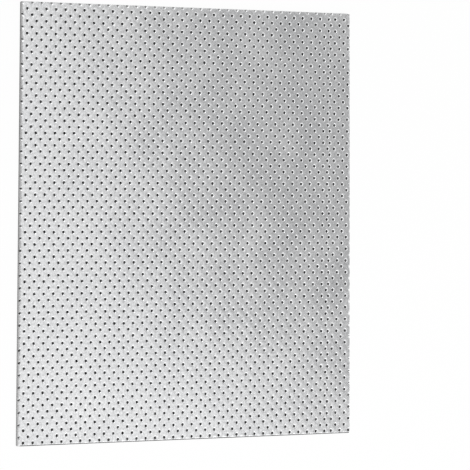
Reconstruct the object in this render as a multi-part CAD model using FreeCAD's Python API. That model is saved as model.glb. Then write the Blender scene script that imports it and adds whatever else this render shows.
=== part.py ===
import FreeCAD
import Part
import math
import os

from FreeCAD import Vector

# Exhaust gasket sheet: a flat blank of gasket stock with a metal face, pierced all over
# by a perforating roller, from which gaskets for exhaust flanges are cut.
#
# Frame: the sheet lies flat on its back. X runs across it, Y up the face as it is read
# in the hand, Z up out of the pierced face. The origin is under the middle of the sheet.
# All sizes are in millimetres.

# Blank: its right-hand edge was sheared a little out of square
sheet_width = 204.0
sheet_length = 203.0
sheet_thickness = 2.0
edge_lean = 2.9
corner_radius = 0.8

# Roller: pitch of the punches, and where the first of them meets the left and far edges
column_pitch = 5.6
row_pitch = 5.67
first_column_inset = -0.06
first_row_inset = 0.28

# Roller's last pass over the sheet: it starts early, so its columns crowd the ones before
first_pass_width = 189.5
pass_overlap = 1.4

# Pit left by one punch: a three-sided point, driven in from the face
pit_sides = 3
pit_mouth = 2.2
pit_depth = 1.0
punch_overshoot = 0.5


def blank():
    """The sheet before it is pierced, with the sharp of its corners taken off."""
    half_width = sheet_width / 2
    half_length = sheet_length / 2
    corners = [
        Vector(-half_width, -half_length, 0),
        Vector(half_width, -half_length, 0),
        Vector(half_width - edge_lean, half_length, 0),
        Vector(-half_width, half_length, 0),
    ]
    outline = Part.Face(Part.makePolygon(corners + corners[:1]))
    slab = outline.extrude(Vector(0, 0, sheet_thickness))
    upright_edges = [edge for edge in slab.Edges if abs(edge.tangentAt(edge.FirstParameter).z) > 0.9]
    return slab.makeFillet(corner_radius, upright_edges)


def punch():
    """The pyramid that one punch leaves as a pit, point down, standing over the origin."""
    top_height = sheet_thickness + punch_overshoot
    top_radius = pit_mouth / 2 * (pit_depth + punch_overshoot) / pit_depth
    tip = Vector(0, 0, sheet_thickness - pit_depth)
    rim = []
    for side in range(pit_sides):
        angle = math.radians(90 + 360 * side / pit_sides)
        rim.append(Vector(top_radius * math.cos(angle), top_radius * math.sin(angle), top_height))
    faces = [Part.Face(Part.makePolygon(rim + rim[:1]))]
    for start, end in zip(rim, rim[1:] + rim[:1]):
        faces.append(Part.Face(Part.makePolygon([start, end, tip, start])))
    return Part.Solid(Part.Shell(faces))


def column_places():
    """Where the punch columns lie along X, from the left-hand edge to the right."""
    places = []
    column = 0
    while True:
        from_edge = first_column_inset + column * column_pitch
        if from_edge > first_pass_width:
            from_edge -= pass_overlap
        if from_edge > sheet_width:
            return places
        places.append(from_edge - sheet_width / 2)
        column += 1


def row_places():
    """Where the punch rows lie along Y, from the far edge to the near one."""
    rows = int((sheet_length - first_row_inset) / row_pitch) + 1
    return [sheet_length / 2 - first_row_inset - row * row_pitch for row in range(rows)]


def pierced_sheet():
    """The blank with a pit under every punch of the field."""
    point = punch()
    field = [point.translated(Vector(x, y, 0)) for x in column_places() for y in row_places()]
    return blank().cut(Part.makeCompound(field))


os.makedirs("parts", exist_ok=True)
sheet = pierced_sheet()
sheet.exportStep("parts/gasket_sheet.step")
print("gasket_sheet: %d solid, %d faces, %.1f mm3" % (len(sheet.Solids), len(sheet.Faces), sheet.Volume))
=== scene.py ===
# %% [markdown]
# # A pierced gasket sheet
# Exhaust gaskets are cut with snips from a flat sheet like this one: a blank about two millimetres thick,
# with a bright metal face that a roller has pierced all over with small punches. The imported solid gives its
# true outline and thickness. This lesson models the pierced face punch by punch, and then gives it the metal,
# the dark pits and the grey sheared edge that the photograph shows.

# %% Load the frame
import math

import bmesh
import bpy
from mathutils import Matrix, Vector


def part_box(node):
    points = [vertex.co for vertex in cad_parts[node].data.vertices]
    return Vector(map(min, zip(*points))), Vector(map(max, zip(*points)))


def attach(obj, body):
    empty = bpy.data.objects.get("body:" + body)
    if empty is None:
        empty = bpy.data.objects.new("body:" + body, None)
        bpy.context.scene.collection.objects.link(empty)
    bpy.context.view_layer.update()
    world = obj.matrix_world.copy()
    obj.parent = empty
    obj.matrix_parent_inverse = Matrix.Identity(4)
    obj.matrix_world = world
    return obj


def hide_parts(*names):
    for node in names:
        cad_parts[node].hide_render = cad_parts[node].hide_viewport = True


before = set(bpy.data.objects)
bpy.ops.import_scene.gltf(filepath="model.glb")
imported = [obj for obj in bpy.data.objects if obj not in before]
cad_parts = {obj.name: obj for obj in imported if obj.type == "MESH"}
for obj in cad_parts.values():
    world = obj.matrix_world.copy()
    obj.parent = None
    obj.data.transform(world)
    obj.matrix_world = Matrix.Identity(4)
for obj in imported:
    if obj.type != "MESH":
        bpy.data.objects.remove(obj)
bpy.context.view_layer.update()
low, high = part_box("gasket_sheet")
print("the solid runs from", [round(v, 5) for v in low], "to", [round(v, 5) for v in high])

# %% [markdown]
# ## The blank and its roller
# The sheet was sheared by hand, so its right-hand edge leans in a little towards the far end. The roller's
# punches stand in staggered rows. Its first row and first column run over the edge of the sheet, which is why
# the edges there are notched, and its last pass starts early, so that the last columns stand closer.
# Everything is worked out from these few sizes and from the solid's own box.

# %% Sizes of the blank and of the roller
MM = 0.001
face_height = high[2]
edge_lean = 2.9 * MM
corner_cut = 0.33 * MM
column_pitch = 5.6 * MM
row_pitch = 5.67 * MM
first_column = low[0] - 0.06 * MM
first_row = high[1] - 0.28 * MM
seam = low[0] + 188.9 * MM
seam_overlap = 1.4 * MM
across, along = (high[0] - low[0]) / column_pitch, (high[1] - low[1]) / row_pitch
print("columns", round(across, 1), "rows", round(along, 1))

# %% [markdown]
# ## One punch mark
# A punch leaves a shallow funnel in the metal, with a dark hole at its bottom. It could be cut with a
# boolean, but thousands of booleans are slow and leave ragged faces. Instead one diamond-shaped tile of the
# face is modelled by hand: a ring bridged to the tile's four corners, then extruded inwards step by step.
# Diamonds lie corner to corner exactly as the staggered punches do, so the tiles close into one skin.

# %% Helpers for picking by place
def pick(piece, kind, test):
    """In edit mode, selects only the vertices, edges or faces whose corners pass the test."""
    bpy.ops.mesh.select_mode(type={"verts": "VERT", "edges": "EDGE", "faces": "FACE"}[kind])
    bpy.ops.mesh.select_all(action="DESELECT")
    shape = bmesh.from_edit_mesh(piece.data)
    chosen = 0
    for part in getattr(shape, kind):
        corners = [part.co] if kind == "verts" else [corner.co for corner in part.verts]
        if test(corners):
            part.select_set(True)
            chosen += 1
    shape.select_flush_mode()
    bmesh.update_edit_mesh(piece.data)
    return chosen


def paint(piece, finish):
    """In edit mode, gives the selected faces one of the piece's finishes."""
    piece.active_material_index = piece.data.materials.find(finish)
    bpy.ops.object.material_slot_assign()


def apply_modifiers(piece):
    """In object mode, applies every modifier of the piece in its order."""
    for name in [modifier.name for modifier in piece.modifiers]:
        bpy.ops.object.modifier_apply(modifier=name)


# %% The tile's flat land, bridged to a ring
ring_corners = 8
lip_radius = 1.2 * MM
bpy.ops.object.select_all(action="DESELECT")
bpy.ops.mesh.primitive_circle_add(vertices=4, radius=1.0, location=(0, 0, 0))
sheet = bpy.context.object
sheet.name = "pierced_sheet"
sheet.data.name = "pierced_sheet"
for finish in ("rolled_metal", "pit_filling_and_edge_shade", "sheared_edge"):
    sheet.data.materials.append(bpy.data.materials.new(finish))
bpy.ops.object.mode_set(mode="EDIT")
bpy.ops.transform.resize(value=(column_pitch / 2, row_pitch / 2, 1.0), center_override=(0, 0, 0))
bpy.ops.mesh.primitive_circle_add(vertices=ring_corners, radius=lip_radius, location=(0, 0, 0))
bpy.ops.mesh.select_all(action="SELECT")
bpy.ops.mesh.bridge_edge_loops()
bpy.ops.transform.translate(value=(0, 0, face_height))
print("land faces", len(bmesh.from_edit_mesh(sheet.data).faces))

# %% Funnel, wall and bottom of the pit
funnel = [(0.97 * MM, 0.09 * MM), (0.74 * MM, 0.20 * MM), (0.63 * MM, 0.95 * MM)]
dark_below = 0.22 * MM
touching = 0.01 * MM
radius, depth = lip_radius, 0.0


def on_ring(ends):
    """True for an edge of the ring that was made last."""
    level_ends = [abs(end.z - (face_height - depth)) < touching for end in ends]
    return all(level_ends) and all(end.xy.length < radius + touching for end in ends)


for next_radius, next_depth in funnel:
    level = face_height - depth
    pick(sheet, "edges", on_ring)
    bpy.ops.mesh.extrude_edges_move()
    shrink = next_radius / radius
    bpy.ops.transform.resize(value=(shrink, shrink, 1.0), center_override=(0, 0, level))
    bpy.ops.transform.translate(value=(0, 0, depth - next_depth))
    radius, depth = next_radius, next_depth
bpy.ops.mesh.edge_face_add()
bpy.ops.mesh.select_all(action="SELECT")
bpy.ops.mesh.normals_make_consistent(inside=False)
dark = pick(sheet, "faces", lambda corners: min(corner.z for corner in corners) < face_height - dark_below)
paint(sheet, "pit_filling_and_edge_shade")
print("faces in one punch mark", len(bmesh.from_edit_mesh(sheet.data).faces), "of which dark", dark)

# %% [markdown]
# ## The whole field
# The second, staggered set is a copy of the tile moved by half a pitch each way. Two arrays then repeat the
# pair over the sheet and a little past its edges, and the shared corners are merged. The strip past the seam
# slides to the left by the overlap: only the land between two columns is squeezed by that.

# %% Stagger, array and merge
spare = 1
merge_within = 0.005 * MM
columns = math.ceil((high[0] + seam_overlap - first_column) / column_pitch) + 1 + spare
rows = math.ceil((first_row - low[1]) / row_pitch) + 1 + spare
bpy.ops.mesh.select_all(action="SELECT")
bpy.ops.mesh.duplicate_move(TRANSFORM_OT_translate={"value": (column_pitch / 2, -row_pitch / 2, 0)})
bpy.ops.mesh.select_all(action="SELECT")
start = (first_column - spare * column_pitch, first_row + spare * row_pitch, 0)
bpy.ops.transform.translate(value=start)
bpy.ops.object.mode_set(mode="OBJECT")
for name, count, step in (("columns", columns, (column_pitch, 0, 0)), ("rows", rows, (0, -row_pitch, 0))):
    array = sheet.modifiers.new(name, "ARRAY")
    array.count = count
    array.use_relative_offset = False
    array.use_constant_offset = True
    array.constant_offset_displace = step
apply_modifiers(sheet)
bpy.ops.object.mode_set(mode="EDIT")
bpy.ops.mesh.select_all(action="SELECT")
bpy.ops.mesh.remove_doubles(threshold=merge_within)
moved = pick(sheet, "verts", lambda place: place[0].x > seam)
bpy.ops.transform.translate(value=(-seam_overlap, 0, 0))
print("punch marks laid out", 2 * columns * rows, "and vertices past the seam", moved)

# %% [markdown]
# ## Worn punches
# No two punches hit quite alike. Two displace modifiers with a soft cloud pattern nudge the marks sideways
# by about a tenth of a millimetre, so the field keeps its rows and yet looks pierced and not printed.

# %% Nudge the marks
bpy.ops.object.mode_set(mode="OBJECT")
nudge = 0.3 * MM
for name, axis, grain in (("nudge_x", "X", 3.0 * MM), ("nudge_y", "Y", 4.0 * MM)):
    cloud = bpy.data.textures.new(name, "CLOUDS")
    cloud.noise_scale = grain
    cloud.noise_depth = 1
    shove = sheet.modifiers.new(name, "DISPLACE")
    shove.texture = cloud
    shove.texture_coords = "LOCAL"
    shove.direction = axis
    shove.strength = nudge
apply_modifiers(sheet)
print("marks nudged by up to", round(nudge / 2 / MM, 2), "mm each way")

# %% [markdown]
# ## Shearing the blank
# The skin is trimmed with the bisect tool along the four sheared edges and across the corners, as the shear
# cuts right through whatever marks lie under it. The shear also pulls the metal over a little, so the trim
# lies just inside the outline, and the open rim is extruded out to the outline and down before it drops to
# the back and is closed there. The edges are notched for nothing that way, because the rim follows every pit
# that the shear went through. Bisect's own threshold is a tenth of a millimetre, so it is given a finer one.

# %% Where the trim lies inside the outline
roll_left, roll_right = 0.5 * MM, 0.2 * MM
roll_near, roll_far = 0.4 * MM, 0.2 * MM
left, right = low[0] + roll_left, high[0] - roll_right
near, far = low[1] + roll_near, high[1] - roll_far
near_right = Vector((right, near, 0))
far_right = Vector((right - edge_lean, far, 0))
lean = (far_right - near_right).normalized()
right_way = Vector((lean.y, -lean.x, 0))
print("trimmed to", [round(v / MM, 2) for v in (left, right, near, far)], "mm")

# %% Trim the skin
cuts = [
    (Vector((left, 0, 0)), Vector((-1, 0, 0))),
    (Vector((0, far, 0)), Vector((0, 1, 0))),
    (Vector((0, near, 0)), Vector((0, -1, 0))),
    (near_right, right_way),
]
corners = [
    (Vector((left, near, 0)), Vector((-1, -1, 0))),
    (near_right, Vector((1, -1, 0))),
    (far_right, Vector((1, 1, 0))),
    (Vector((left, far, 0)), Vector((-1, 1, 0))),
]
cuts += [(place - way.normalized() * corner_cut, way.normalized()) for place, way in corners]
cut_threshold = 0.0001 * MM
bpy.ops.object.mode_set(mode="EDIT")
for place, way in cuts:
    bpy.ops.mesh.select_all(action="SELECT")
    bpy.ops.mesh.bisect(plane_co=place, plane_no=way, clear_outer=True, threshold=cut_threshold)
print("cuts", len(cuts), "vertices left", len(bmesh.from_edit_mesh(sheet.data).verts))

# %% Roll the rim over, drop the sides and close the back
roll_drop = 0.18 * MM
grow_x = (high[0] - low[0]) / (right - left)
grow_y = (high[1] - low[1]) / (far - near)
still = ((left * grow_x - low[0]) / (grow_x - 1), (near * grow_y - low[1]) / (grow_y - 1), 0)
bpy.ops.mesh.select_mode(type="EDGE")
bpy.ops.mesh.select_all(action="DESELECT")
bpy.ops.mesh.select_non_manifold(
    use_wire=False, use_multi_face=False, use_non_contiguous=False, use_verts=False
)
bpy.ops.mesh.extrude_edges_move()
bpy.ops.transform.resize(value=(grow_x, grow_y, 1), center_override=still)
bpy.ops.transform.translate(value=(0, 0, -roll_drop))
bpy.ops.mesh.extrude_edges_move()
bpy.ops.transform.resize(value=(1, 1, 0), center_override=(0, 0, low[2]))
bpy.ops.mesh.edge_face_add()
bpy.ops.mesh.select_all(action="SELECT")
bpy.ops.mesh.normals_make_consistent(inside=False)
print("the rim grows by", round(grow_x, 5), "across and", round(grow_y, 5), "along")

# %% [markdown]
# ## The sheared edges and the edge strips
# The sides show the sheared filling. Along the far edge the pits that the shear cut through are painted pale
# grey, and along the near edge the rolled-over strip is painted dark as painted shade. Faces are picked by
# where they lie, which is simpler than keeping track of them through every operator.

# %% Paint the sides, the pale cut pits and the near edge's painted shade
pale_pit_reach = 1.3 * MM
pale_pit_depth = 0.15 * MM


def reaches_back(ends):
    """True for the sides and for the back."""
    return min(end.z for end in ends) < low[2] + touching


def on_back(ends):
    """True for the back alone."""
    return max(end.z for end in ends) < low[2] + touching


# The pits that the far shear cut through are painted pale grey with the edge finish.
def far_cut_pit(ends):
    """True for the pit walls and bottoms that the far shear cut through."""
    at_edge = min(end.y for end in ends) > high[1] - pale_pit_reach
    return at_edge and not reaches_back(ends) and max(end.z for end in ends) < face_height - pale_pit_depth


# The rolled-over strip along the near edge is painted with the dark filling as painted shade.
def shaded_near_strip(ends):
    """True for the rolled-over strip along the near edge."""
    return max(end.y for end in ends) < near + touching and not reaches_back(ends)


painted = {}
painting = [
    ("sides", reaches_back, "sheared_edge"),
    ("back", on_back, "rolled_metal"),
    ("pale_cut_pits", far_cut_pit, "sheared_edge"),
    # painted shade: the near strip gets the dark filling
    ("near_painted_shade", shaded_near_strip, "pit_filling_and_edge_shade"),
]
for name, test, finish in painting:
    painted[name] = pick(sheet, "faces", test)
    paint(sheet, finish)
print("faces painted", painted)

# %% Look for open edges
bpy.ops.mesh.select_mode(type="EDGE")
bpy.ops.mesh.select_all(action="DESELECT")
bpy.ops.mesh.select_non_manifold()
open_edges = sum(edge.select for edge in bmesh.from_edit_mesh(sheet.data).edges)
bpy.ops.object.mode_set(mode="OBJECT")
print("open edges", open_edges)

# %% [markdown]
# ## Flat land, round lips
# Smooth shading alone would make the flat land between the marks look puffy. Weighting each normal by the
# size of the faces around it keeps the land dead flat and lets only the small funnels look round.

# %% Shade the sheet
sharp_from = math.radians(50)
bpy.ops.object.shade_smooth_by_angle(angle=sharp_from)
flats_first = sheet.modifiers.new("flats_first", "WEIGHTED_NORMAL")
flats_first.mode = "FACE_AREA"
flats_first.weight = 90
flats_first.keep_sharp = True
apply_modifiers(sheet)
triangles = sum(len(face.vertices) - 2 for face in sheet.data.polygons)
print("triangles in the sheet", triangles)


# %% [markdown]
# ## Finishes
# Three finishes make the sheet. Its face is thin rolled metal: pale, half bright, finely speckled, faintly
# clouded by handling and with a rolled grain. The pits show the dark filling under it. The sheared edge is
# dull grey and streaked along the cut, with painted shade that darkens its lower part towards the floor. All
# of them read the piece's own coordinates, so they stay put from every side.

# %% Helpers for the finishes
def fresh_nodes(name):
    """Empties a material's nodes and returns the tree, its shader and the piece's coordinates."""
    material = bpy.data.materials[name]
    material.use_nodes = True
    tree = material.node_tree
    tree.nodes.clear()
    output = tree.nodes.new("ShaderNodeOutputMaterial")
    shader = tree.nodes.new("ShaderNodeBsdfPrincipled")
    tree.links.new(shader.outputs["BSDF"], output.inputs["Surface"])
    place = tree.nodes.new("ShaderNodeTexCoord").outputs["Object"]
    return tree, shader, place


def stretched(tree, place, scale):
    """Coordinates with a scale of their own along each axis."""
    mapping = tree.nodes.new("ShaderNodeMapping")
    mapping.inputs["Scale"].default_value = scale
    tree.links.new(place, mapping.inputs["Vector"])
    return mapping.outputs["Vector"]


def noise(tree, place, scale, detail=3.0, rough=0.55):
    """A cloudy pattern with the given number of clouds in a metre."""
    cloud = tree.nodes.new("ShaderNodeTexNoise")
    cloud.inputs["Scale"].default_value = scale
    cloud.inputs["Detail"].default_value = detail
    cloud.inputs["Roughness"].default_value = rough
    tree.links.new(place, cloud.inputs["Vector"])
    return cloud.outputs["Fac"]


def ramp(tree, factor, stops):
    """A colour ramp from (place, grey or colour) stops."""
    node = tree.nodes.new("ShaderNodeValToRGB")
    while len(node.color_ramp.elements) < len(stops):
        node.color_ramp.elements.new(0.5)
    for element, (position, colour) in zip(node.color_ramp.elements, stops):
        element.position = position
        element.color = (*colour, 1.0) if isinstance(colour, tuple) else (colour, colour, colour, 1.0)
    tree.links.new(factor, node.inputs["Fac"])
    return node.outputs["Color"]


def spread(tree, factor, lowest, highest):
    """Maps a pattern's middle range onto a span of values."""
    node = tree.nodes.new("ShaderNodeMapRange")
    node.inputs["From Min"].default_value = 0.3
    node.inputs["From Max"].default_value = 0.7
    node.inputs["To Min"].default_value = lowest
    node.inputs["To Max"].default_value = highest
    tree.links.new(factor, node.inputs["Value"])
    return node.outputs["Result"]


def multiply(tree, first, second):
    """One colour darkened by another."""
    node = tree.nodes.new("ShaderNodeMix")
    node.data_type = "RGBA"
    node.blend_type = "MULTIPLY"
    node.inputs["Factor"].default_value = 1.0
    tree.links.new(first, node.inputs["A"])
    tree.links.new(second, node.inputs["B"])
    return node.outputs["Result"]


def bump(tree, shader, layers):
    """Stacks bumps, each a (pattern, height in metres, strength), and gives them to the shader."""
    normal = None
    for pattern, height, strength in layers:
        node = tree.nodes.new("ShaderNodeBump")
        node.inputs["Strength"].default_value = strength
        node.inputs["Distance"].default_value = height
        tree.links.new(pattern, node.inputs["Height"])
        if normal:
            tree.links.new(normal, node.inputs["Normal"])
        normal = node.outputs["Normal"]
    tree.links.new(normal, shader.inputs["Normal"])


# %% Rolled metal face
def rolled_metal():
    """Thin rolled metal: pale, half bright, speckled, with a fine grain along the rolling."""
    tree, shader, place = fresh_nodes("rolled_metal")
    shader.inputs["Metallic"].default_value = 1.0
    clouds = noise(tree, place, 38, detail=4.0)
    grain = noise(tree, stretched(tree, place, (900, 220, 900)), 1.0, detail=2.0)
    speckle = noise(tree, place, 950, detail=3.0)
    tone = ramp(tree, clouds, [(0.3, (0.828, 0.835, 0.846)), (0.7, (0.890, 0.895, 0.901))])
    fleck = ramp(tree, speckle, [(0.3, 0.68), (0.66, 1.0)])
    tree.links.new(multiply(tree, tone, fleck), shader.inputs["Base Color"])
    tree.links.new(spread(tree, clouds, 0.24, 0.31), shader.inputs["Roughness"])
    bump(tree, shader, [(grain, 0.02 * MM, 0.25), (speckle, 0.03 * MM, 0.35)])


rolled_metal()
print("metal face has", len(bpy.data.materials["rolled_metal"].node_tree.nodes), "nodes")


# %% Dark filling and sheared edge
def pit_filling_and_edge_shade():
    """The dark filling that shows at the bottom of the pits, dusty here and there; also painted shade on the
    near edge.
    """
    tree, shader, place = fresh_nodes("pit_filling_and_edge_shade")
    dust = noise(tree, place, 260, detail=2.0)
    grit = noise(tree, place, 3500, detail=2.0)
    tone = ramp(tree, dust, [(0.35, 0.085), (0.7, 0.2)])
    tree.links.new(tone, shader.inputs["Base Color"])
    tree.links.new(spread(tree, grit, 0.7, 0.9), shader.inputs["Roughness"])
    bump(tree, shader, [(grit, 0.05 * MM, 0.6)])


def sheared_edge():
    """The sheared edge: dull grey filling between two bright skins, streaked along the cut, with painted
    shade low down.
    """
    tree, shader, place = fresh_nodes("sheared_edge")
    streaks = noise(tree, stretched(tree, place, (160, 160, 2600)), 1.0, detail=3.0)
    grit = noise(tree, place, 1800, detail=3.0)
    tone = ramp(tree, streaks, [(0.3, 0.52), (0.7, 0.74)])
    fleck = ramp(tree, grit, [(0.3, 0.75), (0.65, 1.0)])
    # Painted shade: the lower part of the edge, towards the floor, is darkened.
    axes = tree.nodes.new("ShaderNodeSeparateXYZ")
    tree.links.new(place, axes.inputs["Vector"])
    up_the_edge = tree.nodes.new("ShaderNodeMapRange")
    up_the_edge.inputs["From Max"].default_value = face_height
    tree.links.new(axes.outputs["Z"], up_the_edge.inputs["Value"])
    painted_floor_shade = ramp(tree, up_the_edge.outputs["Result"], [(0.3, 0.58), (0.5, 1.0)])
    streaks_and_shade = multiply(tree, multiply(tree, tone, fleck), painted_floor_shade)
    tree.links.new(streaks_and_shade, shader.inputs["Base Color"])
    tree.links.new(spread(tree, grit, 0.6, 0.8), shader.inputs["Roughness"])
    bump(tree, shader, [(streaks, 0.08 * MM, 0.5), (grit, 0.04 * MM, 0.5)])


pit_filling_and_edge_shade()
sheared_edge()
print("finishes on the sheet", [material.name for material in sheet.data.materials])

# %% [markdown]
# ## Onto the frame
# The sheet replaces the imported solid, which stays for collision. It rides on the one body there is.

# %% Ride
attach(sheet, "root")
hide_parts("gasket_sheet")
print("riding on root:", sheet.name)

# %% [markdown]
# ## Floor and light
# The sheet lies on a plain white floor. Part of the floor's white is for the camera and for reflections only,
# so it reads as paper and still keeps the soft shadow round the sheet. The light is that of a small studio:
# an even room, and soft boxes placed where the metal mirrors them. A flat metal face shows what it mirrors
# and little else, so the boxes hung low over it make its slow fade from pale to grey. The others stand
# further off, and each of them lights one side of every funnel.

# %% Floor and room
def studio_floor():
    """A large pale floor just under the sheet, whiter to the eye and in reflections than to the light."""
    bpy.ops.mesh.primitive_plane_add(size=40.0, location=(0, 0, low[2]))
    floor = bpy.context.object
    floor.name = "floor"
    material = bpy.data.materials.new("floor_white")
    material.use_nodes = True
    tree = material.node_tree
    tree.nodes.clear()
    output = tree.nodes.new("ShaderNodeOutputMaterial")
    paper = tree.nodes.new("ShaderNodeBsdfDiffuse")
    paper.inputs["Color"].default_value = (0.95, 0.95, 0.95, 1.0)
    glow = tree.nodes.new("ShaderNodeEmission")
    glow.inputs["Color"].default_value = (1.0, 1.0, 1.0, 1.0)
    rays = tree.nodes.new("ShaderNodeLightPath")
    seen = tree.nodes.new("ShaderNodeMath")
    seen.operation = "MAXIMUM"
    tree.links.new(rays.outputs["Is Camera Ray"], seen.inputs[0])
    tree.links.new(rays.outputs["Is Glossy Ray"], seen.inputs[1])
    either = tree.nodes.new("ShaderNodeMath")
    either.operation = "MAXIMUM"
    tree.links.new(seen.outputs[0], either.inputs[0])
    tree.links.new(rays.outputs["Is Transmission Ray"], either.inputs[1])
    share = tree.nodes.new("ShaderNodeMath")
    share.operation = "MULTIPLY"
    share.inputs[1].default_value = 0.95
    tree.links.new(either.outputs[0], share.inputs[0])
    mix = tree.nodes.new("ShaderNodeMixShader")
    tree.links.new(share.outputs[0], mix.inputs["Fac"])
    tree.links.new(paper.outputs["BSDF"], mix.inputs[1])
    tree.links.new(glow.outputs["Emission"], mix.inputs[2])
    tree.links.new(mix.outputs["Shader"], output.inputs["Surface"])
    floor.data.materials.append(material)


def studio_room(level):
    """An even pale room."""
    world = bpy.data.worlds.new("room")
    bpy.context.scene.world = world
    world.use_nodes = True
    room = world.node_tree.nodes["Background"]
    room.inputs["Color"].default_value = (1.0, 1.0, 1.0, 1.0)
    room.inputs["Strength"].default_value = level


def soft_box(name, place, aim, size, level, spin=0.0):
    """A lamp of a given width and length that looks at a point, as bright to the eye as the level says."""
    lamp = bpy.data.lights.new(name, "AREA")
    lamp.shape = "RECTANGLE"
    lamp.size, lamp.size_y = size
    lamp.energy = level * math.pi * size[0] * size[1]
    box = bpy.data.objects.new(name, lamp)
    bpy.context.scene.collection.objects.link(box)
    facing = (Vector(place) - Vector(aim)).to_track_quat("Z", "Y").to_matrix().to_4x4()
    box.matrix_world = Matrix.Translation(place) @ facing @ Matrix.Rotation(spin, 4, "Z")


studio_floor()
studio_room(0.47)
print("floor and room are in place")

# %% Hang the soft boxes
middle = (0.0, 0.0, 0.0)
tilted = math.radians(20)
soft_box("mirrored_box", (0.165, -0.02, 0.36), (0.165, -0.02, 0.0), (0.21, 0.64), 0.58, spin=tilted)
soft_box("near_mirrored_box", (0.15, -0.40, 0.36), (0.15, -0.40, 0.0), (0.5, 0.64), 0.70)
soft_box("overhead_box", (-0.26, 0.0, 1.15), middle, (0.5, 0.5), 0.50)
soft_box("far_overhead_box", (0.17, 0.65, 1.02), middle, (0.6, 0.6), 1.4)
soft_box("far_mirrored_box", (0.42, 0.13, 0.36), (0.42, 0.13, 0.0), (0.25, 0.16), 0.06)
soft_box("near_box", (0.72, -0.60, 0.58), middle, (0.5, 0.46), 1.2)
soft_box("right_box", (0.95, -0.45, 0.40), middle, (0.5, 0.36), 0.9)
soft_box("left_box", (-0.30, -0.36, 0.16), (-0.1, -0.06, 0.0), (0.24, 0.24), 3.2)
soft_box("far_box", (0.7, 0.6, 0.5), middle, (0.6, 0.6), 0.36)
soft_box("low_right_box", (1.0, 0.1, 0.33), middle, (0.7, 0.45), 0.6)
print("lamps", [lamp.name for lamp in bpy.data.lights])

# %% [markdown]
# ## Camera
# The photograph was taken with a long lens from the left, about 41 degrees off square to the face, so the
# left edge is nearer and shows its thickness. The far edge of the sheet is up in the picture. The turn and
# the roll are small and only level the rows.

# %% Place the camera
tilt, turn, roll = math.radians(40.805), math.radians(-1.445), math.radians(1.697)
aim = Vector((27.09 * MM, -5.37 * MM, face_height))
distance = 2194.7 * MM
picture_width = 470
focal_pixels = 4630.4
camera = bpy.data.cameras.new("camera")
camera.sensor_width = 36.0
camera.lens = focal_pixels / picture_width * camera.sensor_width
camera.clip_end = 20.0
stand = bpy.data.objects.new("camera", camera)
bpy.context.scene.collection.objects.link(stand)
turned = Matrix.Rotation(turn, 4, "Z") @ Matrix.Rotation(-tilt, 4, "Y") @ Matrix.Rotation(roll, 4, "Z")
stand.matrix_world = Matrix.Translation(aim) @ turned @ Matrix.Translation((0, 0, distance))
bpy.context.scene.camera = stand
bpy.context.scene.view_settings.view_transform = "Standard"
print("lens", round(camera.lens, 1), "mm, camera at", [round(v, 3) for v in stand.matrix_world.translation])
